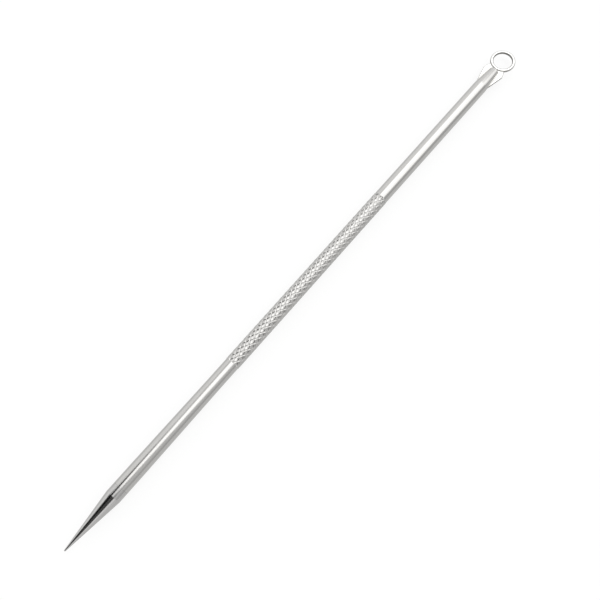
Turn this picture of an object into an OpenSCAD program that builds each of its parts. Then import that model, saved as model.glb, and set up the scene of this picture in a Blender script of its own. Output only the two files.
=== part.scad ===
// Comedone extractor: a slim steel rod tool with a needle point at one end
// and a flat round loop at the other, with a diamond-knurled grip between.
// Millimetres. The rod runs along X, needle towards -X, loop towards +X.
// The loop plate lies flat, and the rod rests on Z = 0.

/* [Overall] */
// Length over all, from the needle point to the far edge of the loop
overall_l = 124.4; // [120:0.1:135]

/* [Needle tip] */
// Length of the bare conical point
point_l = 11.5; // [9:0.1:12.5]
// Diameter of the blunted end of the point
point_d = 0.3; // [0.2:0.05:0.6]
// Diameter of the collar behind the point, and of the straight seat it shares with the handle
collar_d = 2.95; // [2.85:0.01:3.2]
// Length of the collar that belongs to the needle piece
collar_l = 1.9; // [1:0.1:3.5]
// Diameter of the tang inside the handle, and of the bore it is pressed into
tang_d = 1.6; // [1.2:0.05:1.9]
// Length of the tang
tang_l = 6; // [4:0.5:9]
// Free depth left in the bore behind the tang
bore_relief = 0.5; // [0.2:0.1:1.5]

/* [Handle] */
// Length of the straight seat behind the shoulder, needle collar included
seat_l = 5.6; // [4.5:0.1:7]
// Length of the taper from the seat down to the barrel
taper_l = 19.7; // [12:0.1:21]
// Diameter of the barrel between the taper and the knurl
barrel_d = 2.7; // [2.6:0.01:2.78]
// Diameter of the shank between the knurl and the nose
shank_d = 2.75; // [2.65:0.01:2.85]
// Length of the tapered nose that holds the loop plate
nose_l = 4.8; // [4.7:0.05:6]
// Diameter of the flat end of the nose
nose_d = 1.75; // [1.4:0.05:1.9]
// Width of the bevel on the rim of the flat nose end
nose_bevel = 0.3; // [0.05:0.01:0.35]

/* [Knurl] */
// Distance from the needle point to the start of the knurl
knurl_start = 41.6; // [40:0.1:46]
// Diameter over the knurl's diamond points
knurl_d = 2.8; // [2.78:0.01:2.95]
// Helical grooves each way round
knurl_starts = 11; // [9:1:14]
// Angle of the grooves to the rod's axis
knurl_angle = 30; // [27:1:35]
// Diamonds in one row along the grip
knurl_rows = 30; // [20:1:32]
// Depth of the grooves
knurl_depth = 0.14; // [0.08:0.01:0.3]

/* [Loop] */
// Outside diameter of the ring
loop_d = 4.9; // [4.8:0.1:5.6]
// Diameter of the eye
eye_d = 3.7; // [3.4:0.05:4]
// Thickness of the ring
ring_t = 0.55; // [0.45:0.05:0.8]
// Bevel round the ring's edges, inside and out
ring_bevel = 0.1; // [0.05:0.01:0.15]
// Thickness of the tongue and wings, pressed thinner than the ring
tongue_t = 0.35; // [0.25:0.05:0.45]
// Distance from the nose end to the ring
ring_gap = 0.1; // [0.05:0.05:0.3]
// Width over the two wings
wing_w = 4.3; // [4:0.1:5.2]
// Distance from the eye centre back to the wing corners
wing_back = 3.2; // [3.1:0.05:3.6]
// Radius of the wing corners
wing_r = 0.3; // [0.15:0.05:0.4]
// Depth of the saw slot from the nose end
slot_l = 4.2; // [3.8:0.1:4.6]

/* [Braze] */
// Thickness of the braze film between the tongue and the slot
braze_film = 0.05; // [0.03:0.01:0.08]
// Leg of the braze bead along the slot's edges
braze_bead = 0.14; // [0.1:0.01:0.2]

/* [Hidden] */
$fn = 96;
steel = [0.80, 0.80, 0.80];
needle_steel = [0.76, 0.76, 0.77];
braze_silver = [0.83, 0.82, 0.78];
axis_z = collar_d / 2;
half_pitch = PI * knurl_d / knurl_starts / tan(knurl_angle) / 2;
knurl_l = 2 * knurl_rows * half_pitch;
knurl_end = knurl_start + knurl_l;
eye_x = overall_l - loop_d / 2;
nose_end = eye_x - loop_d / 2 - ring_gap;
nose_start = nose_end - nose_l;
slot_end = nose_end - slot_l;
slot_w = tongue_t + 2 * braze_film;
seam_x = point_l + collar_l;
seat_end = point_l + seat_l;
core_d = 2;
// the knurl reaches this far into the plain rod at each end
lap = 0.05;

// Radius of the nose cone at a distance x from the needle point
function nose_r(x) = shank_d / 2 + (nose_d - shank_d) / 2 * (x - nose_start) / nose_l;

// Rounded corner at p1 between neighbours p0 and p2
function unit(v) = v / norm(v);
function corner(p0, p1, p2, r, n = 6) =
    let (u = unit(p0 - p1), v = unit(p2 - p1), h = acos(u * v) / 2,
         c = p1 + unit(u + v) * r / sin(h),
         a = p1 + u * r / tan(h) - c, b = p1 + v * r / tan(h) - c,
         sweep = 180 - 2 * h, s = (a[0] * b[1] - a[1] * b[0]) > 0 ? 1 : -1)
    [for (i = [0 : n]) let (t = s * sweep * i / n)
        c + [a[0] * cos(t) - a[1] * sin(t), a[0] * sin(t) + a[1] * cos(t)]];

// Places a shape that is drawn along X from the needle point
module placed() translate([-overall_l / 2, 0, axis_z]) children();

// Turns a [distance along the rod, radius] outline round the rod's axis
module turned(outline) rotate([0, 90, 0]) rotate_extrude() polygon([for (p = outline) [p[1], p[0]]]);

// Plain turned rod with every section but the knurl's points
module rod_blank() {
    turned([[seam_x, 0], [seam_x, collar_d / 2], [seat_end, collar_d / 2],
            [seat_end + taper_l, barrel_d / 2], [knurl_start, barrel_d / 2],
            [knurl_start, core_d / 2], [knurl_end, core_d / 2], [knurl_end, shank_d / 2],
            [nose_start, shank_d / 2], [nose_end - nose_bevel, nose_r(nose_end - nose_bevel)],
            [nose_end, nose_d / 2 - nose_bevel], [nose_end, 0]]);
}

// Full nose cone before its slot is sawn, used where the braze follows it
module nose_cone() {
    turned([[slot_end - slot_w, 0], [slot_end - slot_w, nose_r(slot_end - slot_w)],
            [nose_end - nose_bevel, nose_r(nose_end - nose_bevel)],
            [nose_end, nose_d / 2 - nose_bevel], [nose_end, 0]]);
}

// Sleeve of diamond points between two crossing sets of helical grooves.
// Grooves cross where station and column add up to an even number.
module knurl_sleeve() {
    cols = 2 * knurl_starts;
    rows = 2 * knurl_rows;
    crest = knurl_d / 2;
    root = crest - knurl_depth;
    inner = core_d / 2 - 0.15;
    function at_x(m) = m == 0 ? -lap : m == rows ? knurl_l + lap : m * half_pitch;
    function at_r(k, m) = m == 0 ? barrel_d / 2 - 0.03 : m == rows ? shank_d / 2 - 0.03
        : (k + m) % 2 == 0 ? root : crest;
    function outer(k, m) = m * cols + k % cols;
    function bore(k, m) = (rows + 1 + m) * cols + k % cols;
    points = concat(
        [for (m = [0 : rows], k = [0 : cols - 1]) let (r = at_r(k, m), t = 360 * k / cols)
            [at_x(m), r * cos(t), r * sin(t)]],
        [for (m = [0 : 1], k = [0 : cols - 1]) let (t = 360 * k / cols)
            [m == 0 ? -lap : knurl_l + lap, inner * cos(t), inner * sin(t)]]);
    skin = [for (m = [0 : rows - 1], k = [0 : cols - 1], half = [0, 1])
        let (a = outer(k, m), b = outer(k + 1, m), c = outer(k + 1, m + 1), d = outer(k, m + 1))
        (k + m) % 2 == 0 ? (half == 0 ? [a, c, b] : [a, d, c]) : (half == 0 ? [a, d, b] : [b, d, c])];
    hole = [for (k = [0 : cols - 1]) [bore(k, 0), bore(k + 1, 0), bore(k + 1, 1), bore(k, 1)]];
    ends = [for (k = [0 : cols - 1], far = [0, 1])
        far == 0 ? [outer(k, 0), outer(k + 1, 0), bore(k + 1, 0), bore(k, 0)]
                 : [outer(k + 1, rows), outer(k, rows), bore(k, 1), bore(k + 1, 1)]];
    translate([knurl_start, 0, 0]) polyhedron(points, concat(skin, hole, ends));
}

// Saw slot across the nose, for the tongue and its braze film
module nose_slot() {
    translate([slot_end, -shank_d, -slot_w / 2]) cube([slot_l + 1, 2 * shank_d, slot_w]);
}

module handle() color(steel) placed() difference() {
    union() {
        rod_blank();
        knurl_sleeve();
    }
    // blind bore with a drill point, for the needle's tang
    turned([[seam_x - 1, 0], [seam_x - 1, tang_d / 2], [seam_x + tang_l + bore_relief, tang_d / 2],
            [seam_x + tang_l + bore_relief + tang_d * 0.3, 0]]);
    nose_slot();
}

module needle_tip() color(needle_steel) placed() {
    turned([[0, 0], [0, point_d / 4], [point_d / 4, point_d / 2], [point_l, collar_d / 2],
            [seam_x, collar_d / 2], [seam_x, tang_d / 2], [seam_x + tang_l - 0.2, tang_d / 2],
            [seam_x + tang_l, tang_d / 2 - 0.2], [seam_x + tang_l, 0]]);
}

// Plan outline of the tongue and wings, mirrored about the rod's axis
module wings() {
    tail = [slot_end + braze_film, nose_r(slot_end) + braze_film];
    tip = [eye_x - wing_back, wing_w / 2];
    waist = [eye_x - loop_d / 2 * 0.74, loop_d / 2 * 0.66];
    side = concat([tail], corner(tail, tip, waist, wing_r), [waist, [eye_x - loop_d * 0.36, 0]]);
    for (s = [-1, 1])
        linear_extrude(tongue_t, center = true)
            polygon([for (p = concat([[tail[0], -0.01]], side)) [p[0], s * p[1]]]);
}

// Ring with bevelled edges, its eye left as a plain bore between the bevels
module ring() {
    r = eye_d / 2;
    outer = loop_d / 2;
    low = ring_t / 2;
    edge = low - ring_bevel;
    translate([eye_x, 0, 0]) rotate_extrude()
        polygon([[r, -edge], [r + ring_bevel, -low], [outer - ring_bevel, -low], [outer, -edge],
                 [outer, edge], [outer - ring_bevel, low], [r + ring_bevel, low], [r, edge]]);
}

module loop_plate() color(steel) placed() union() {
    ring();
    difference() {
        wings();
        translate([eye_x, 0, 0]) cylinder(d = (eye_d + loop_d) / 2, h = ring_t, center = true);
    }
}

// One straight bead of triangular section along an outer edge of the slot
module bead(side, face) {
    slope = atan((nose_r(slot_end) - nose_d / 2) / slot_l);
    start = slot_l * 0.05;
    run = slot_l * 0.85;
    mirror([0, side < 0 ? 1 : 0, 0]) mirror([0, 0, face < 0 ? 1 : 0])
        translate([slot_end + start, nose_r(slot_end + start), tongue_t / 2])
            rotate([0, 0, -slope]) rotate([90, 0, 90])
                linear_extrude(run)
                    polygon([[-2 * braze_bead, 0], [braze_bead, 0],
                             [0, braze_bead], [-2 * braze_bead, braze_bead]]);
}

// Film round the tongue inside the slot, joined to the beads outside it
module loop_braze() color(braze_silver) placed() difference() {
    union() {
        intersection() {
            nose_cone();
            nose_slot();
        }
        for (side = [-1, 1], face = [-1, 1]) bead(side, face);
    }
    // the two prongs of the nose
    difference() {
        nose_cone();
        nose_slot();
    }
    wings();
}

handle();
needle_tip();
loop_plate();
loop_braze();
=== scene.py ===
"""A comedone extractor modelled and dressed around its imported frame.

The rod runs along X, needle towards -X and loop towards +X, and rests on Z = 0.
Each piece has its own operator, which stands in for one node of the frame.
"""

import math

import bmesh
import bpy
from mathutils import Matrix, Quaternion, Vector


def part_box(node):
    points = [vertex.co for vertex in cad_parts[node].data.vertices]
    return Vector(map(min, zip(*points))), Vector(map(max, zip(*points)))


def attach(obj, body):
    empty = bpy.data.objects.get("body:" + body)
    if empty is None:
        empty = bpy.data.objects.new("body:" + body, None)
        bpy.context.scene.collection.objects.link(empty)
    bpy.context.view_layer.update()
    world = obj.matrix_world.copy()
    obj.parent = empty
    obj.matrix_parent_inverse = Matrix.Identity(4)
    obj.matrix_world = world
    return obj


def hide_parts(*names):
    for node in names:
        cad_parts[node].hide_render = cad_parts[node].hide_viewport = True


bl_info = {
    "name": "Comedone Extractor",
    "version": (1, 0, 0),
    "blender": (4, 5, 0),
    "location": "View3D > Sidebar > Extractor",
    "description": "Models a needle and loop comedone extractor around its frame",
    "category": "Add Mesh",
}

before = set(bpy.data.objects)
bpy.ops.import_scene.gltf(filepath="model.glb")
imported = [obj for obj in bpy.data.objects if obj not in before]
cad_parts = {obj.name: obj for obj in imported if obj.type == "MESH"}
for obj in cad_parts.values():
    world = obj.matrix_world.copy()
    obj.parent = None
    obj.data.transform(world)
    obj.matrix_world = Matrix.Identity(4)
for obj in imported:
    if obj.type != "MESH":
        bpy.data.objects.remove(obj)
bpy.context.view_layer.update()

MM = 0.001
# Two places no further apart than this are the same place
TOUCH = 0.0001 * MM
# Corners no further apart than this are merged, and more loosely where diamonds meet
MERGE = 0.0005 * MM
MERGE_DIAMONDS = 0.002 * MM
# Sides of the turned rod and needle
SIDES = 88
# Width of the narrow ring that keeps the shading level beside the knurl
HOLD = 0.1 * MM
# Where the tongue's sides meet the ring: back from the eye's centre and out from the middle,
# as shares of the ring's outer radius
WAIST_BACK = 0.74
WAIST_OUT = 0.66
BODY = "root"
NEEDLE_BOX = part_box("needle_tip")
HANDLE_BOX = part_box("handle")
PLATE_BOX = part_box("loop_plate")

POINT_X = NEEDLE_BOX[0].x
SEAM_X = HANDLE_BOX[0].x
NOSE_X = HANDLE_BOX[1].x
LOOP_END_X = PLATE_BOX[1].x
COLLAR_D = NEEDLE_BOX[1].y - NEEDLE_BOX[0].y
AXIS_Z = HANDLE_BOX[0].z + COLLAR_D / 2
RING_D = PLATE_BOX[1].y - PLATE_BOX[0].y
RING_T = PLATE_BOX[1].z - PLATE_BOX[0].z


def length(name, description, value):
    """A length in metres that the sidebar shows in scene units."""
    return bpy.props.FloatProperty(
        name=name, description=description, default=value, min=0.0, precision=5,
        unit="LENGTH", subtype="DISTANCE",
    )


def colour(name, description, value):
    """A linear colour without alpha."""
    return bpy.props.FloatVectorProperty(
        name=name, description=description, default=value, min=0.0, max=1.0,
        size=3, subtype="COLOR",
    )


class ExtractorHandleSizes(bpy.types.PropertyGroup):
    """Sizes of the turned handle and its knurl."""

    seat_l: length("Seat length", "Straight seat on the handle behind the seam", 3.7 * MM)
    taper_l: length("Taper length", "Taper from the seat down to the barrel", 19.7 * MM)
    barrel_d: length("Barrel diameter", "Rod between the taper and the knurl", 2.7 * MM)
    shank_d: length("Shank diameter", "Rod between the knurl and the nose", 2.75 * MM)
    nose_l: length("Nose length", "Cone that holds the loop plate", 4.8 * MM)
    nose_d: length("Nose end diameter", "Flat end of the nose", 1.75 * MM)
    nose_bevel: length("Nose bevel", "Bevel on the rim of the nose end", 0.3 * MM)
    seam_bevel: length("Seam bevel", "Bevel on each side of the seam", 0.015 * MM)
    bore_d: length("Bore diameter", "Blind bore for the needle's tang", 1.6 * MM)
    bore_l: length("Bore depth", "Depth of the bore before its drill point", 6.5 * MM)
    slot_l: length("Slot depth", "Saw slot from the nose end", 4.2 * MM)
    slot_w: length("Slot width", "Width of the saw slot", 0.45 * MM)
    nose_blend: length("Nose blend", "Rounding between the shank and the nose", 0.7 * MM)
    knurl_start: length("Knurl start", "Needle point to the first diamonds", 41.6 * MM)
    knurl_d: length("Knurl diameter", "Over the tops of the diamonds", 2.8 * MM)
    knurl_depth: length("Knurl depth", "Depth of the grooves", 0.1 * MM)
    knurl_runout: length("Knurl run-out", "Slope from the grooves up to the rod", 0.06 * MM)
    knurl_top: length("Diamond inset", "Inset of each diamond's worn top", 0.145 * MM)
    knurl_root: length("Groove rounding", "Width of the rounding along each groove", 0.03 * MM)
    knurl_starts: bpy.props.IntProperty(
        name="Knurl starts", description="Helical grooves each way round", default=11, min=6
    )
    knurl_rows: bpy.props.IntProperty(
        name="Knurl rows", description="Diamonds in one row along the grip", default=30, min=2
    )
    knurl_angle: bpy.props.FloatProperty(
        name="Knurl angle", description="Angle of the grooves to the rod's axis",
        default=math.radians(30), min=math.radians(10), subtype="ANGLE",
    )


class ExtractorNeedleSizes(bpy.types.PropertyGroup):
    """Sizes of the needle tip."""

    point_l: length("Point length", "Bare cone from the point to the shoulder", 11.5 * MM)
    point_d: length("Point diameter", "Blunted end of the point", 0.3 * MM)
    shoulder: length("Shoulder rounding", "Rounding where the cone meets the collar", 0.12 * MM)
    seam_bevel: length("Seam bevel", "Bevel on the collar's edge at the seam", 0.015 * MM)
    tang_d: length("Tang diameter", "Tang inside the handle", 1.6 * MM)
    tang_l: length("Tang length", "Tang from the seam to its end", 6 * MM)
    tang_bevel: length("Tang bevel", "Bevel on the end of the tang", 0.2 * MM)


class ExtractorLoopSizes(bpy.types.PropertyGroup):
    """Sizes of the loop plate and its braze."""

    eye_d: length("Eye diameter", "Hole in the ring", 3.7 * MM)
    tongue_t: length("Tongue thickness", "Tongue and wings, pressed thin", 0.35 * MM)
    wing_w: length("Wing width", "Width over both wings", 4.3 * MM)
    wing_back: length("Wing setback", "Eye centre back to the wing corners", 3.2 * MM)
    wing_r: length("Wing corner radius", "Radius of each wing corner", 0.3 * MM)
    ring_edge: length("Ring edge", "Rounding round the ring, inside and out", 0.19 * MM)
    wing_edge: length("Wing edge", "Rounding that tumbling left on the wings", 0.12 * MM)
    film: length("Braze film", "Braze between the plate and the slot", 0.05 * MM)
    bead: length("Braze bead", "Leg of the bead along the slot", 0.14 * MM)


class ExtractorFinish(bpy.types.PropertyGroup):
    """Colours of the metals."""

    rod: colour("Rod steel", "Polished steel of the handle", (0.415, 0.41, 0.40))
    needle: colour("Needle steel", "Ground steel of the needle", (0.40, 0.395, 0.39))
    sheet: colour("Sheet steel", "Tumbled sheet of the loop", (0.55, 0.545, 0.53))
    # Colour of the painted shade along the sheet's edges and of the painted shadow round the step
    edge_shade_tint: colour("Cut edge", "Dull edges of the sheet", (0.15, 0.147, 0.14))
    braze: colour("Silver braze", "Silver of the brazed joint", (0.56, 0.55, 0.525))
    groove: colour("Groove tint", "Satin steel in the knurl's rolled grooves", (0.425, 0.42, 0.41))


class ExtractorStudio(bpy.types.PropertyGroup):
    """Camera, floor and light."""

    lens: bpy.props.FloatProperty(
        name="Lens", description="Focal length in millimetres on a 36 mm film",
        default=54.0, min=1.0,
    )
    camera_at: bpy.props.FloatVectorProperty(
        name="Camera", description="Where the camera stands",
        default=(-43.21 * MM, -42.08 * MM, 152.96 * MM), precision=5, subtype="TRANSLATION",
    )
    look_at: bpy.props.FloatVectorProperty(
        name="Target", description="Where the camera looks",
        default=(-3.97 * MM, -1.50 * MM, 1.475 * MM), precision=5, subtype="TRANSLATION",
    )
    roll: bpy.props.FloatProperty(
        name="Roll", description="Turn of the camera about its own axis",
        default=math.radians(6.116), subtype="ANGLE",
    )
    floor_size: length("Floor size", "Side of the floor", 6.0)
    floor_tint: colour("Floor tint", "Pale floor", (0.125, 0.125, 0.124))


def clear_selection():
    """Leaves edit mode and selects nothing."""
    if bpy.context.object and bpy.context.object.mode != "OBJECT":
        bpy.ops.object.mode_set(mode="OBJECT")
    bpy.ops.object.select_all(action="DESELECT")


def only(piece):
    """Makes piece the only selected and the active object."""
    clear_selection()
    piece.select_set(True)
    bpy.context.view_layer.objects.active = piece
    return piece


def edit(piece, mode="VERT"):
    """Opens piece in edit mode with nothing selected, and gives its mesh."""
    only(piece)
    bpy.ops.object.mode_set(mode="EDIT")
    bpy.ops.mesh.select_mode(type=mode)
    bpy.ops.mesh.select_all(action="DESELECT")
    return bmesh.from_edit_mesh(piece.data)


def pick(piece, kind, test):
    """Selects, in edit mode, the verts, edges or faces whose place passes test."""
    mesh = bmesh.from_edit_mesh(piece.data)
    bpy.ops.mesh.select_all(action="DESELECT")
    for part in getattr(mesh, kind):
        if kind == "verts":
            spot = part.co
        elif kind == "edges":
            spot = (part.verts[0].co + part.verts[1].co) / 2
        else:
            spot = part.calc_center_median()
        if test(part, spot):
            part.select = True
    mesh.select_flush_mode()
    bmesh.update_edit_mesh(piece.data)


def close_up(piece):
    """Merges doubles and turns the faces outwards."""
    edit(piece)
    bpy.ops.mesh.select_all(action="SELECT")
    bpy.ops.mesh.remove_doubles(threshold=MERGE)
    bpy.ops.mesh.select_all(action="SELECT")
    bpy.ops.mesh.normals_make_consistent(inside=False)
    only(piece)
    bpy.ops.object.transform_apply(location=True, rotation=True, scale=True)


def settle(piece, name, angle=30.0):
    """Closes up, shades and names the finished piece."""
    close_up(piece)
    smooth(piece, angle)
    piece.name = name
    piece.data.name = name
    return piece


def smooth(piece, angle):
    """Shades piece smooth up to angle, with the broad faces leading at each corner."""
    only(piece)
    bpy.ops.object.shade_smooth_by_angle(angle=math.radians(angle))
    modify(piece, "WEIGHTED_NORMAL", mode="FACE_AREA", weight=80, keep_sharp=True)


def from_axis(spot):
    """Distance of a place from the rod's axis."""
    return math.hypot(spot.y, spot.z - AXIS_Z)


def turned(stations):
    """A bar turned about the rod's axis: a disc drawn out through stations of (x, radius)."""
    clear_selection()
    x, r = stations[0]
    bpy.ops.mesh.primitive_circle_add(
        vertices=SIDES, radius=r, fill_type="NGON",
        location=(x, 0, AXIS_Z), rotation=(math.radians(90), 0, math.radians(90)),
    )
    bar = bpy.context.object
    bpy.ops.object.transform_apply(location=True, rotation=True, scale=True)
    bpy.ops.object.mode_set(mode="EDIT")
    bpy.ops.mesh.select_mode(type="FACE")
    bpy.ops.mesh.select_all(action="SELECT")
    for next_x, next_r in stations[1:]:
        bpy.ops.mesh.extrude_region_move(TRANSFORM_OT_translate={"value": (next_x - x, 0, 0)})
        grow = next_r / r
        bpy.ops.transform.resize(value=(1, grow, grow), center_override=(next_x, 0, AXIS_Z))
        x, r = next_x, next_r
    clear_selection()
    return bar


def modify(piece, kind, **settings):
    """Adds a modifier with settings and applies it."""
    only(piece)
    modifier = piece.modifiers.new(kind.title(), kind)
    for key, value in settings.items():
        setattr(modifier, key, value)
    bpy.ops.object.modifier_apply(modifier=modifier.name)


def combine(piece, tool, operation):
    """Cuts piece with tool, or joins tool to it, and removes the tool."""
    modify(piece, "BOOLEAN", operation=operation, solver="EXACT", object=tool)
    bpy.data.objects.remove(tool)


def join(*parts):
    """Joins the parts into the first of them."""
    clear_selection()
    for part in parts:
        part.select_set(True)
    bpy.context.view_layer.objects.active = parts[0]
    bpy.ops.object.join()
    return parts[0]


def nose_radius(sizes, x):
    """Radius of the nose cone at x."""
    share = (x - (NOSE_X - sizes.nose_l)) / sizes.nose_l
    return sizes.shank_d / 2 + (sizes.nose_d - sizes.shank_d) / 2 * share


def knurled_band(sizes, start):
    """The knurl as an open sleeve: one diamond, repeated round and along the grip."""
    crest = sizes.knurl_d / 2
    root = crest - sizes.knurl_depth
    columns = 2 * sizes.knurl_starts
    step = math.tau / columns
    half = math.pi * sizes.knurl_d / columns / math.tan(sizes.knurl_angle)
    end = start + 2 * sizes.knurl_rows * half
    first = start - 2 * half
    clear_selection()
    bpy.ops.mesh.primitive_circle_add(
        vertices=4, radius=half, fill_type="NGON", location=(first, 0, AXIS_Z + root),
    )
    diamond = bpy.context.object
    bpy.ops.object.transform_apply(location=True, rotation=True, scale=True)
    edit(diamond)
    pick(diamond, "verts", lambda v, c: abs(c.y) > half / 2)
    bpy.ops.transform.resize(
        value=(1, root * math.sin(step) / half, 1), center_override=(first, 0, AXIS_Z + root)
    )
    bpy.ops.transform.translate(value=(0, 0, root * math.cos(step) - root))
    bpy.ops.mesh.select_mode(type="FACE")
    bpy.ops.mesh.select_all(action="SELECT")
    bpy.ops.mesh.inset(thickness=sizes.knurl_top, use_even_offset=True)
    pick(diamond, "faces", lambda f, c: math.hypot(c.x - first, c.y) < TOUCH)
    bpy.ops.transform.resize(value=(1, 1, 0), center_override=(first, 0, AXIS_Z + crest))
    bpy.ops.mesh.select_all(action="SELECT")
    bpy.ops.mesh.duplicate_move(TRANSFORM_OT_translate={"value": (half, 0, 0)})
    bpy.ops.transform.rotate(
        value=step, orient_axis="X", center_override=(first + half, 0, AXIS_Z)
    )
    bpy.ops.mesh.select_all(action="SELECT")
    bpy.ops.mesh.spin(
        steps=sizes.knurl_starts - 1, dupli=True, angle=math.tau - 2 * step,
        center=(first, 0, AXIS_Z), axis=(1, 0, 0),
    )
    bpy.ops.object.mode_set(mode="OBJECT")
    modify(
        diamond, "ARRAY", count=sizes.knurl_rows + 3, use_relative_offset=False,
        use_constant_offset=True, constant_offset_displace=(2 * half, 0, 0),
    )
    edit(diamond)
    bpy.ops.mesh.select_all(action="SELECT")
    bpy.ops.mesh.remove_doubles(threshold=MERGE_DIAMONDS)
    low = root + 0.2 * sizes.knurl_depth
    pick(
        diamond, "edges",
        lambda e, c: max(from_axis(v.co) for v in e.verts) < low and not e.is_boundary,
    )
    bpy.ops.mesh.bevel(offset=sizes.knurl_root, segments=2, affect="EDGES")
    for cut_x, side in ((start, -1), (end, 1)):
        bpy.ops.mesh.select_all(action="SELECT")
        bpy.ops.mesh.bisect(
            plane_co=(cut_x, 0, AXIS_Z), plane_no=(side, 0, 0), clear_outer=True, threshold=TOUCH
        )
    clear_selection()
    return diamond, end


def handle_body(sizes):
    """The handle: two turned lengths of rod bridged to the knurled band between them."""
    bevel = sizes.seam_bevel
    seat = COLLAR_D / 2
    barrel = sizes.barrel_d / 2
    shank = sizes.shank_d / 2
    bore = sizes.bore_d / 2
    seat_end = SEAM_X + sizes.seat_l
    taper_end = seat_end + sizes.taper_l
    knurl_start = POINT_X + sizes.knurl_start
    bore_end = SEAM_X + sizes.bore_l
    nose_start = NOSE_X - sizes.nose_l
    blend_start = nose_start - 4 / 7 * sizes.nose_blend
    blend_end = nose_start + 3 / 7 * sizes.nose_blend
    bevel_x = NOSE_X - sizes.nose_bevel
    band, knurl_end = knurled_band(sizes, knurl_start)
    front_end = knurl_start - sizes.knurl_runout
    back_end = knurl_end + sizes.knurl_runout
    front = turned([
        (bore_end + 0.3 * sizes.bore_d, 0.02 * bore), (bore_end, bore), (SEAM_X + bevel, bore),
        (SEAM_X, bore + bevel), (SEAM_X, seat - bevel), (SEAM_X + bevel, seat),
        (seat_end, seat), (taper_end, barrel), (front_end - HOLD, barrel), (front_end, barrel),
    ])
    back = turned([
        (NOSE_X, nose_radius(sizes, NOSE_X) - sizes.nose_bevel),
        (bevel_x, nose_radius(sizes, bevel_x)), (blend_end, nose_radius(sizes, blend_end)),
        (blend_start, shank), (back_end + HOLD, shank), (back_end, shank),
    ])
    rod = join(front, back, band)
    for band_x, rod_x in ((knurl_start, front_end), (knurl_end, back_end)):
        edit(rod, "FACE")
        pick(rod, "faces", lambda f, c: len(f.verts) == SIDES and abs(c.x - rod_x) < TOUCH)
        bpy.ops.mesh.delete(type="ONLY_FACE")
        bpy.ops.mesh.select_mode(type="EDGE")
        pick(
            rod, "edges",
            lambda e, c: e.is_boundary and min(abs(c.x - band_x), abs(c.x - rod_x)) < TOUCH,
        )
        bpy.ops.mesh.bridge_edge_loops()
    close_up(rod)
    bpy.ops.mesh.primitive_cube_add(
        size=1, location=(NOSE_X, 0, AXIS_Z),
        scale=(2 * sizes.slot_l, 2 * sizes.shank_d, sizes.slot_w),
    )
    saw = bpy.context.object
    bpy.ops.object.transform_apply(location=True, rotation=True, scale=True)
    combine(rod, saw, "DIFFERENCE")
    return rod


class EXTRACTOR_OT_handle(bpy.types.Operator):
    """Turn, knurl and slot the handle"""

    bl_idname = "extractor.handle"
    bl_label = "Handle"

    def execute(self, context):
        scene = context.scene
        rod = settle(handle_body(scene.extractor_handle), "handle_body", angle=25)
        rod.data.materials.clear()
        rod.data.materials.append(rod_steel(scene.extractor_finish, scene.extractor_handle))
        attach(rod, BODY)
        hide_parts("handle")
        return {"FINISHED"}


class EXTRACTOR_OT_needle_tip(bpy.types.Operator):
    """Turn and grind the needle tip with its tang"""

    bl_idname = "extractor.needle_tip"
    bl_label = "Needle tip"

    def execute(self, context):
        scene = context.scene
        sizes = scene.extractor_needle
        tip = sizes.point_d / 2
        collar = COLLAR_D / 2
        tang = sizes.tang_d / 2
        bevel = sizes.seam_bevel
        shoulder_x = POINT_X + sizes.point_l
        slope = (collar - tip) / (sizes.point_l - tip)
        dome = [
            (POINT_X + tip * (1 - math.cos(turn)), tip * math.sin(turn))
            for turn in (math.radians(a) for a in (4, 20, 38, 56, 74))
        ]
        # The blunt end, the cone, its rounded shoulder, the collar, the seam and the tang
        needle = turned(dome + [
            (POINT_X + tip * 1.1, tip * 1.01),
            (shoulder_x - sizes.shoulder, collar - sizes.shoulder * slope),
            (shoulder_x - sizes.shoulder * 0.4, collar - sizes.shoulder * 0.12 * slope),
            (shoulder_x + sizes.shoulder * 0.3, collar),
            (SEAM_X - bevel, collar), (SEAM_X, collar - bevel), (SEAM_X, tang),
            (SEAM_X + sizes.tang_l - sizes.tang_bevel, tang),
            (SEAM_X + sizes.tang_l, tang - sizes.tang_bevel),
        ])
        settle(needle, "needle_point", angle=25)
        needle.data.materials.append(needle_steel(scene.extractor_finish, sizes))
        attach(needle, BODY)
        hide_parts("needle_tip")
        return {"FINISHED"}


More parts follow.
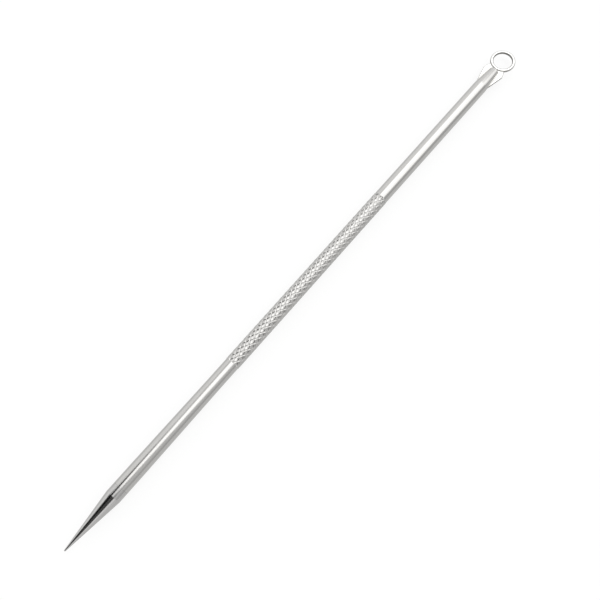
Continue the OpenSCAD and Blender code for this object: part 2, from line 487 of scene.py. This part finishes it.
def plate_blank(sizes, nose):
    """The winged tongue, cut from sheet and pressed thin, up to the ring."""
    eye_x = LOOP_END_X - RING_D / 2
    slot_x = NOSE_X - nose.slot_l + sizes.film
    tail = nose_radius(nose, NOSE_X - nose.slot_l) + sizes.film
    waist_x = eye_x - RING_D / 2 * WAIST_BACK
    waist = RING_D / 2 * WAIST_OUT
    wing_x = eye_x - sizes.wing_back
    low = AXIS_Z - sizes.tongue_t / 2
    clear_selection()
    bpy.ops.mesh.primitive_plane_add(size=2, location=(0, 0, 0))
    tongue = bpy.context.object
    edit(tongue)
    for side, x, y in ((-1, slot_x, tail), (1, wing_x, sizes.wing_w / 2)):
        pick(tongue, "verts", lambda v, c: c.x * side > 0.5)
        bpy.ops.transform.resize(value=(1, y, 1), center_override=(0, 0, 0))
        bpy.ops.transform.translate(value=(x - side, 0, low))
    # Out to the waist, then on below the ring, where the punch cuts the rest away
    front_x = wing_x
    for x, grow in ((waist_x, waist / (sizes.wing_w / 2)), (eye_x, 0.5)):
        pick(tongue, "verts", lambda v, c: c.x > front_x - TOUCH)
        bpy.ops.mesh.extrude_region_move(TRANSFORM_OT_translate={"value": (x - front_x, 0, 0)})
        bpy.ops.transform.resize(value=(1, grow, 1), center_override=(x, 0, low))
        front_x = x
    pick(tongue, "verts", lambda v, c: abs(c.x - wing_x) < TOUCH)
    bpy.ops.mesh.bevel(offset=sizes.wing_r * 0.6, segments=5, affect="VERTICES")
    bpy.ops.mesh.select_mode(type="FACE")
    bpy.ops.mesh.select_all(action="SELECT")
    bpy.ops.mesh.dissolve_limited(angle_limit=math.radians(1))
    bpy.ops.mesh.select_all(action="SELECT")
    bpy.ops.mesh.extrude_region_move(TRANSFORM_OT_translate={"value": (0, 0, sizes.tongue_t)})
    close_up(tongue)
    modify(
        tongue, "BEVEL", width=sizes.wing_edge, segments=4, limit_method="ANGLE",
        angle_limit=math.radians(60), use_clamp_overlap=False,
    )
    clear_selection()
    punch_r = (sizes.eye_d + RING_D) / 4
    bpy.ops.mesh.primitive_cylinder_add(
        vertices=128, radius=punch_r, depth=3 * RING_T, location=(eye_x, 0, AXIS_Z)
    )
    punch = bpy.context.object
    bpy.ops.object.transform_apply(location=True, rotation=True, scale=True)
    combine(tongue, punch, "DIFFERENCE")
    return tongue


def loop_ring(sizes):
    """The ring: its section spun round the eye."""
    eye_x = LOOP_END_X - RING_D / 2
    inner = sizes.eye_d / 2
    width = RING_D / 2 - inner
    clear_selection()
    bpy.ops.mesh.primitive_plane_add(
        size=1, location=(eye_x + inner + width / 2, 0, AXIS_Z), rotation=(math.radians(90), 0, 0)
    )
    ring = bpy.context.object
    bpy.ops.transform.resize(value=(width, 1, RING_T))
    bpy.ops.object.transform_apply(location=True, rotation=True, scale=True)
    edit(ring)
    bpy.ops.mesh.select_all(action="SELECT")
    bpy.ops.mesh.bevel(offset=sizes.ring_edge, segments=6, affect="VERTICES", clamp_overlap=True)
    bpy.ops.mesh.select_mode(type="FACE")
    bpy.ops.mesh.select_all(action="SELECT")
    bpy.ops.mesh.delete(type="ONLY_FACE")
    bpy.ops.mesh.select_mode(type="EDGE")
    bpy.ops.mesh.select_all(action="SELECT")
    bpy.ops.mesh.spin(steps=144, angle=math.tau, center=(eye_x, 0, AXIS_Z), axis=(0, 0, 1))
    clear_selection()
    return ring


class EXTRACTOR_OT_loop_plate(bpy.types.Operator):
    """Punch the loop plate, press its tongue thin and round its edges"""

    bl_idname = "extractor.loop_plate"
    bl_label = "Loop plate"

    def execute(self, context):
        scene = context.scene
        sizes = scene.extractor_loop
        ring = settle(loop_ring(sizes), "loop_ring")
        tongue = settle(plate_blank(sizes, scene.extractor_handle), "tongue")
        combine(ring, tongue, "UNION")
        plate = settle(ring, "loop_ring", angle=35)
        plate.data.materials.clear()
        plate.data.materials.append(sheet_steel(scene.extractor_finish, sizes))
        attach(plate, BODY)
        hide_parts("loop_plate")
        return {"FINISHED"}


class EXTRACTOR_OT_loop_braze(bpy.types.Operator):
    """Run the braze film and its fillets into the slot"""

    bl_idname = "extractor.loop_braze"
    bl_label = "Loop braze"

    def execute(self, context):
        scene = context.scene
        sizes = scene.extractor_loop
        nose = scene.extractor_handle
        slot_x = NOSE_X - nose.slot_l
        back = nose_radius(nose, slot_x)
        front = nose_radius(nose, NOSE_X)
        clear_selection()
        bpy.ops.mesh.primitive_cube_add(
            size=1, location=(slot_x + nose.slot_l / 2, 0, AXIS_Z),
            scale=(nose.slot_l, 2 * front, nose.slot_w),
        )
        film = bpy.context.object
        bpy.ops.object.transform_apply(location=True, rotation=True, scale=True)
        edit(film)
        pick(film, "verts", lambda v, c: c.x < slot_x + TOUCH)
        bpy.ops.transform.resize(value=(1, back / front, 1), center_override=(slot_x, 0, AXIS_Z))
        clear_selection()
        bpy.ops.mesh.primitive_cube_add(
            size=1, location=(slot_x + sizes.film + nose.slot_l, 0, AXIS_Z),
            scale=(2 * nose.slot_l, 4 * back, sizes.tongue_t),
        )
        tongue = bpy.context.object
        bpy.ops.object.transform_apply(location=True, rotation=True, scale=True)
        combine(film, tongue, "DIFFERENCE")
        beads = [film]
        for side in (-1, 1):
            for face in (-1, 1):
                beads.append(fillet(sizes, nose, side, face))
        braze = settle(join(*beads), "loop_fillets", angle=40)
        braze.data.materials.append(silver_braze(scene.extractor_finish))
        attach(braze, BODY)
        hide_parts("loop_braze")
        return {"FINISHED"}


def fillet(sizes, nose, side, face):
    """One bead of braze in the corner between the nose and the plate, drawn thin at both ends."""
    slot_x = NOSE_X - nose.slot_l
    start = Vector((slot_x, side * nose_radius(nose, slot_x), AXIS_Z + face * sizes.tongue_t / 2))
    end = Vector((NOSE_X, side * nose_radius(nose, NOSE_X), start.z))
    along = end - start
    clear_selection()
    bpy.ops.mesh.primitive_uv_sphere_add(
        segments=20, ring_count=12, radius=1, location=(start + end) / 2,
        rotation=along.to_track_quat("Z", "Y").to_euler(),
        scale=(sizes.bead, sizes.bead, along.length / 2),
    )
    bead = bpy.context.object
    bpy.ops.object.transform_apply(location=True, rotation=True, scale=True)
    return bead


class Socket:
    """A shader socket that ordinary sums and products can be written with."""

    def __init__(self, tree, socket):
        self.tree = tree
        self.socket = socket

    def maths(self, operation, *values):
        return self.tree.maths(operation, *values)

    def __add__(self, other):
        return self.maths("ADD", self, other)

    def __sub__(self, other):
        return self.maths("SUBTRACT", self, other)

    def __mul__(self, other):
        return self.maths("MULTIPLY", self, other)

    def __radd__(self, other):
        return self.maths("ADD", other, self)

    def __rsub__(self, other):
        return self.maths("SUBTRACT", other, self)

    def __rmul__(self, other):
        return self.maths("MULTIPLY", other, self)

    def between(self, low, high):
        """0 below low, 1 above high, smooth between them."""
        return self.tree.node(
            "ShaderNodeMapRange", {"interpolation_type": "SMOOTHSTEP"},
            {"Value": self, "From Min": low, "From Max": high},
        )


class Tree:
    """A node tree under construction."""

    def __init__(self, owner, shader):
        owner.use_nodes = True
        self.nodes = owner.node_tree.nodes
        self.links = owner.node_tree.links
        self.shader = self.nodes[shader]

    def node(self, kind, settings=None, inputs=None, output=0):
        """Adds a node: its settings first, then the values or links of its sockets."""
        made = self.nodes.new(kind)
        for key, value in (settings or {}).items():
            if key == "stops":
                self.set_stops(made.color_ramp, value)
            else:
                setattr(made, key, value)
        pairs = enumerate(inputs) if isinstance(inputs, list) else (inputs or {}).items()
        for key, value in pairs:
            if isinstance(value, Socket):
                self.links.new(value.socket, made.inputs[key])
            else:
                made.inputs[key].default_value = value
        return Socket(self, made.outputs[output])

    def maths(self, operation, *values):
        """A Math node on sockets and numbers."""
        return self.node("ShaderNodeMath", {"operation": operation}, list(values))

    def part(self, spot, axis):
        """The X, Y or Z of spot."""
        return self.node("ShaderNodeSeparateXYZ", inputs=[spot], output=axis)

    @staticmethod
    def set_stops(ramp, stops):
        """Gives a colour ramp its stops, each (position, colour)."""
        while len(ramp.elements) < len(stops):
            ramp.elements.new(1.0)
        for element, (position, tint) in zip(ramp.elements, stops):
            element.position = position
            element.color = (*tint, 1.0)

    def feed(self, name, value):
        self.links.new(value.socket, self.shader.inputs[name])


class Finish(Tree):
    """One procedural material under construction."""

    def __init__(self, name, **constants):
        self.material = bpy.data.materials.new(name)
        super().__init__(self.material, "Principled BSDF")
        for key, value in constants.items():
            self.shader.inputs[key.replace("_", " ")].default_value = value

    def place(self, stretch=(1, 1, 1), centre=(0, 0, 0)):
        """Object coordinates in millimetres, stretched and centred."""
        spot = self.node("ShaderNodeTexCoord", output="Object")
        return self.node(
            "ShaderNodeMapping", inputs={
                "Vector": spot,
                "Location": [-c * s / MM for c, s in zip(centre, stretch)],
                "Scale": [s / MM for s in stretch],
            },
        )

    def noise(self, where, scale, detail=2.0, roughness=0.5):
        return self.node(
            "ShaderNodeTexNoise", {"noise_dimensions": "3D"},
            {"Vector": where, "Scale": scale, "Detail": detail, "Roughness": roughness},
        )

    def blend(self, share, low, high):
        """A colour between low, which may be a socket, and high."""
        return self.node(
            "ShaderNodeMix", {"data_type": "RGBA"},
            {0: share, 6: low if isinstance(low, Socket) else (*low, 1.0), 7: (*high, 1.0)},
            output=2,
        )

    def radius(self, spot, across):
        """Distance of spot from an axis: across is 1 on the two coordinates that count."""
        flat = self.node("ShaderNodeVectorMath", {"operation": "MULTIPLY"}, [spot, across])
        return self.node("ShaderNodeVectorMath", {"operation": "LENGTH"}, [flat], output="Value")

    def bump(self, height, strength, distance):
        """Sends height, in millimetres of distance, to the normal."""
        normal = self.node(
            "ShaderNodeBump", inputs={
                "Height": height, "Strength": strength, "Distance": distance * MM
            },
        )
        self.feed("Normal", normal)


def shade(tint, share):
    """tint made darker or lighter by share."""
    return tuple(min(1.0, c * share) for c in tint)


def rod_steel(finish, sizes):
    """Polished stainless rod: fine lathe rings, faint haze, satin in the rolled grooves."""
    metal = Finish("polished rod steel", Metallic=1.0)
    spot = metal.place(centre=(0, 0, AXIS_Z))
    radius = metal.radius(spot, (0, 1, 1))
    along = metal.part(spot, "X")
    rings = metal.noise(metal.place((14, 0.3, 0.3)), 1.0, 3.0, 0.6)
    haze = metal.noise(metal.place((0.5, 1.2, 1.2)), 1.0, 3.0)
    start = (POINT_X + sizes.knurl_start) / MM
    pitch = math.pi * sizes.knurl_d / sizes.knurl_starts / math.tan(sizes.knurl_angle)
    end = start + sizes.knurl_rows * pitch / MM
    in_knurl = along.between(start - 0.2, start) * (1 - along.between(end, end + 0.2))
    crest = sizes.knurl_d / 2 / MM
    depth = sizes.knurl_depth / MM
    deep = 1 - radius.between(crest - 0.95 * depth, crest - 0.25 * depth)
    satin = in_knurl * deep * (0.6 + 0.4 * haze)
    base = metal.blend(haze, shade(finish.rod, 0.95), shade(finish.rod, 1.05))
    metal.feed("Base Color", metal.blend(satin, base, finish.groove))
    metal.feed("Roughness", 0.10 + 0.06 * rings + 0.05 * haze + 0.2 * satin)
    metal.bump(rings, 0.25, 0.004)
    return metal.material


def needle_steel(finish, sizes):
    """Ground needle steel: lengthwise grinding lines on the cone, rings on the collar."""
    metal = Finish("ground needle steel", Metallic=1.0)
    along = metal.part(metal.place(), "X")
    shoulder = (POINT_X + sizes.point_l) / MM
    collar = along.between(shoulder - 0.1, shoulder + 0.1)
    lines = metal.noise(metal.place((0.25, 9, 9), (0, 0, AXIS_Z)), 1.0, 3.0, 0.6)
    rings = metal.noise(metal.place((14, 0.3, 0.3)), 1.0, 3.0, 0.6)
    marks = lines * (1 - collar) + rings * collar
    haze = metal.noise(metal.place((0.8, 1.6, 1.6)), 1.0, 3.0)
    base = metal.blend(haze, shade(finish.needle, 0.93), shade(finish.needle, 1.06))
    metal.feed("Base Color", base)
    metal.feed("Roughness", 0.10 + 0.08 * marks + 0.05 * haze)
    metal.bump(marks, 0.3, 0.004)
    return metal.material


def sheet_steel(finish, sizes):
    """Tumbled sheet: an even satin with tiny pecks, rougher on the cut edges. Painted shade
    darkens the edges, and a painted shadow darkens the corner round the step where the tongue was
    pressed thin."""
    metal = Finish("tumbled sheet steel", Metallic=1.0)
    satin = metal.noise(metal.place(), 9.0, 4.0, 0.6)
    haze = metal.noise(metal.place(), 1.3, 2.0)
    # Lengths from here on are in millimetres from the eye's centre
    rim = RING_D / 2 / MM
    eye = sizes.eye_d / 2 / MM
    spot = metal.place(centre=(LOOP_END_X - RING_D / 2, 0, AXIS_Z))
    radius = metal.radius(spot, (1, 1, 0))
    height = metal.part(spot, "Z")
    along = metal.part(spot, "X")
    in_ring = 1 - radius.between(rim + 0.01, rim + 0.04)
    from_middle = metal.maths("ABSOLUTE", radius - (rim + eye) / 2)
    half_width = (rim - eye) / 2
    # Painted shade: the ring's rounded edges, inside and out, are darkened where shade and dark
    # reflections fall
    ring_edge_shade = in_ring * from_middle.between(half_width - 0.2, half_width - 0.1)
    half = sizes.tongue_t / 2 / MM
    # Painted shade: the side walls of the tongue and wings are darkened
    wing_edge_shade = 1 - metal.maths("ABSOLUTE", height).between(half - 0.012, half - 0.002)
    edges = metal.maths("MAXIMUM", ring_edge_shade, wing_edge_shade)
    # The ring's outer edge gets less of the painted shade than its inner edge
    edges = edges * (1 - 0.35 * in_ring * radius.between(rim - 0.3, rim - 0.2))
    # Painted shadow: a dark band round the ring's outer wall on the tongue's side, in the corner
    # where the tongue steps down
    step = radius.between(rim - 0.05, rim - 0.01) * (1 - radius.between(rim + 0.05, rim + 0.14))
    step = step * (1 - along.between(-1.5, -0.9))
    painted_edge_and_step_shade = metal.maths("MAXIMUM", edges, step) * (0.75 + 0.25 * haze)
    base = metal.blend(haze, shade(finish.sheet, 0.94), shade(finish.sheet, 1.05))
    # The edge shade and the step shadow are painted into the base colour; only the added roughness
    # stands for a duller finish there
    metal.feed("Base Color", metal.blend(painted_edge_and_step_shade, base, finish.edge_shade_tint))
    metal.feed("Roughness", 0.14 + 0.10 * satin + 0.04 * haze + 0.12 * painted_edge_and_step_shade)
    metal.bump(satin, 0.3, 0.006)
    return metal.material


def silver_braze(finish):
    """Silver braze: warm, a little rough, mottled where the flux stood."""
    metal = Finish("silver braze", Metallic=1.0)
    mottle = metal.noise(metal.place(), 3.5, 4.0, 0.6)
    ripple = metal.noise(metal.place((1, 3, 3)), 2.0, 3.0)
    base = metal.blend(mottle, shade(finish.braze, 0.8), shade(finish.braze, 1.08))
    metal.feed("Base Color", base)
    metal.feed("Roughness", 0.24 + 0.16 * mottle)
    metal.bump(ripple, 0.4, 0.01)
    return metal.material


# The light's directions. A swing goes from 0 at the near horizon over 0.5 overhead to 1 at the
# far horizon, and an along from -1 at the needle's side to 1 at the loop's side. Each pair is
# where a part of the light starts to fade in and where it has done so.

# Radiance of the dome at each swing, as a share of its light
DOME = (
    (0.0, 0.42), (0.12, 0.42), (0.19, 0.54), (0.34, 0.6), (0.42, 0.75), (0.6, 0.85),
    (0.9, 0.78), (1.0, 0.74),
)
DOME_LIGHT = 1.8
# The room's paler part, low on the near side behind the needle
NEEDLE_LIFT = 0.45
LIFT_ALONG = (-0.2, -0.06)
LIFT_NEAR = (0.24, 0.34)
# The softbox, whose near edge is swept towards the viewer as it goes to the loop's side
SOFTBOX_LIGHT = 1.2
SOFTBOX_SWEEP = 0.22
SWEEP_ALONG = (-0.2, 0.36)
SOFTBOX_NEAR = (0.43, 0.47)
SOFTBOX_FAR = (0.60, 0.70)
SOFTBOX_START = (-0.09, -0.04)
SOFTBOX_END = (0.585, 0.675)
# The pale wall beyond the softbox, which the nose shows
WALL_LIGHT = 1.0
WALL_ALONG = (0.59, 0.66)
WALL_NEAR = (0.05, 0.15)
WALL_FAR = (0.34, 0.5)
# The camera and whoever stands behind it, above the needle
CAMERA_DARK = 0.93
CAMERA_NEAR = (0.275, 0.29)
CAMERA_FAR = (0.73, 0.76)
CAMERA_START = (-0.75, -0.6)
CAMERA_END = (-0.08, -0.05)
# The softbox's dark stand and frame along its far edge, leaning, fainter towards the loop
STAND_NEAR = (0.605, 0.65)
STAND_FAR = (0.715, 0.775)
STAND_LEAN = 0.09
LEAN_ALONG = (-0.02, 0.3)
STAND_DARK = 0.62
STAND_END = (-0.05, 0.06)
STAND_FAINT = 0.52
STAND_FAINT_END = (0.1, 0.5)


def pale_floor(studio):
    """Matt white board, lit from within a little as a light table is."""
    board = Finish("pale floor", Roughness=0.9, Emission_Strength=0.84)
    grain = board.noise(board.place(), 0.6, 3.0)
    board.feed("Base Color", board.blend(grain, shade(studio.floor_tint, 0.99), studio.floor_tint))
    board.shader.inputs["Emission Color"].default_value = (1, 1, 1, 1)
    board.bump(grain, 0.05, 0.01)
    return board.material


class EXTRACTOR_OT_studio(bpy.types.Operator):
    """Set up the floor, the soft light and the camera"""

    bl_idname = "extractor.studio"
    bl_label = "Studio"

    def execute(self, context):
        scene = context.scene
        studio = scene.extractor_studio
        clear_selection()
        bpy.ops.mesh.primitive_grid_add(x_subdivisions=8, y_subdivisions=8, size=studio.floor_size)
        floor = bpy.context.object
        floor.name = "floor"
        floor.data.materials.append(pale_floor(studio))
        self.light(scene)
        self.camera(scene, studio)
        scene.view_settings.view_transform = "Standard"
        return {"FINISHED"}

    def light(self, scene):
        """Soft light from all round, by direction from the tool."""
        world = bpy.data.worlds.new("soft studio")
        scene.world = world
        sky = Tree(world, "Background")
        sky.shader.inputs["Color"].default_value = (1, 1, 1, 1)
        towards = sky.node("ShaderNodeTexCoord", output="Generated")
        along, across, up = (sky.part(towards, axis) for axis in "XYZ")
        swing = sky.maths("ARCTAN2", up, 0 - across) * (1 / math.pi)
        dome = sky.node(
            "ShaderNodeValToRGB", {"stops": [(p, (v, v, v)) for p, v in DOME]}, [swing]
        )
        lift = (1 - along.between(*LIFT_ALONG)) * (1 - swing.between(*LIFT_NEAR))
        dome = dome * (1 + NEEDLE_LIFT * lift)
        box = (swing + SOFTBOX_SWEEP * along.between(*SWEEP_ALONG)).between(*SOFTBOX_NEAR)
        box = box * (1 - swing.between(*SOFTBOX_FAR))
        box = box * along.between(*SOFTBOX_START) * (1 - along.between(*SOFTBOX_END))
        wall = swing.between(*WALL_NEAR) * (1 - swing.between(*WALL_FAR))
        wall = WALL_LIGHT * wall * along.between(*WALL_ALONG)
        dark = swing.between(*CAMERA_NEAR) * (1 - swing.between(*CAMERA_FAR))
        dark = dark * along.between(*CAMERA_START) * (1 - along.between(*CAMERA_END))
        stand = STAND_DARK * (1 - along.between(*STAND_END))
        stand = stand + STAND_FAINT * (1 - along.between(*STAND_FAINT_END))
        leaning = swing + STAND_LEAN * (1 - along.between(*LEAN_ALONG))
        stand = stand * leaning.between(*STAND_NEAR) * (1 - leaning.between(*STAND_FAR))
        strength = (DOME_LIGHT * dome + SOFTBOX_LIGHT * box + wall) * (1 - CAMERA_DARK * dark)
        sky.feed("Strength", strength * (1 - stand))

    def camera(self, scene, studio):
        at, target = Vector(studio.camera_at), Vector(studio.look_at)
        bpy.ops.object.camera_add(location=at)
        camera = bpy.context.object
        camera.name = "camera"
        turn = (target - at).to_track_quat("-Z", "Y") @ Quaternion((0, 0, 1), -studio.roll)
        camera.rotation_euler = turn.to_euler()
        camera.data.lens = studio.lens
        camera.data.sensor_width = 36
        camera.data.clip_start = 0.001
        scene.camera = camera


class EXTRACTOR_PT_sidebar(bpy.types.Panel):
    """Lists the sizes, the colours and the steps"""

    bl_label = "Comedone extractor"
    bl_idname = "EXTRACTOR_PT_sidebar"
    bl_space_type = "VIEW_3D"
    bl_region_type = "UI"
    bl_category = "Extractor"

    def draw(self, context):
        for title, group in GROUPS.items():
            box = self.layout.box()
            box.label(text=title)
            settings = getattr(context.scene, group[0])
            for name in group[1].__annotations__:
                box.prop(settings, name)
        for step in STEPS:
            self.layout.operator(step.bl_idname)


GROUPS = {
    "Handle": ("extractor_handle", ExtractorHandleSizes),
    "Needle": ("extractor_needle", ExtractorNeedleSizes),
    "Loop": ("extractor_loop", ExtractorLoopSizes),
    "Finish": ("extractor_finish", ExtractorFinish),
    "Studio": ("extractor_studio", ExtractorStudio),
}
STEPS = (
    EXTRACTOR_OT_studio, EXTRACTOR_OT_handle, EXTRACTOR_OT_needle_tip,
    EXTRACTOR_OT_loop_plate, EXTRACTOR_OT_loop_braze,
)


def register():
    for attribute, group in GROUPS.values():
        bpy.utils.register_class(group)
        setattr(bpy.types.Scene, attribute, bpy.props.PointerProperty(type=group))
    for step in STEPS:
        bpy.utils.register_class(step)
    bpy.utils.register_class(EXTRACTOR_PT_sidebar)


def unregister():
    bpy.utils.unregister_class(EXTRACTOR_PT_sidebar)
    for step in reversed(STEPS):
        bpy.utils.unregister_class(step)
    for attribute, group in GROUPS.values():
        delattr(bpy.types.Scene, attribute)
        bpy.utils.unregister_class(group)


def main():
    register()
    bpy.ops.extractor.studio()
    bpy.ops.extractor.handle()
    bpy.ops.extractor.needle_tip()
    bpy.ops.extractor.loop_plate()
    bpy.ops.extractor.loop_braze()


if __name__ == "__main__":
    main()
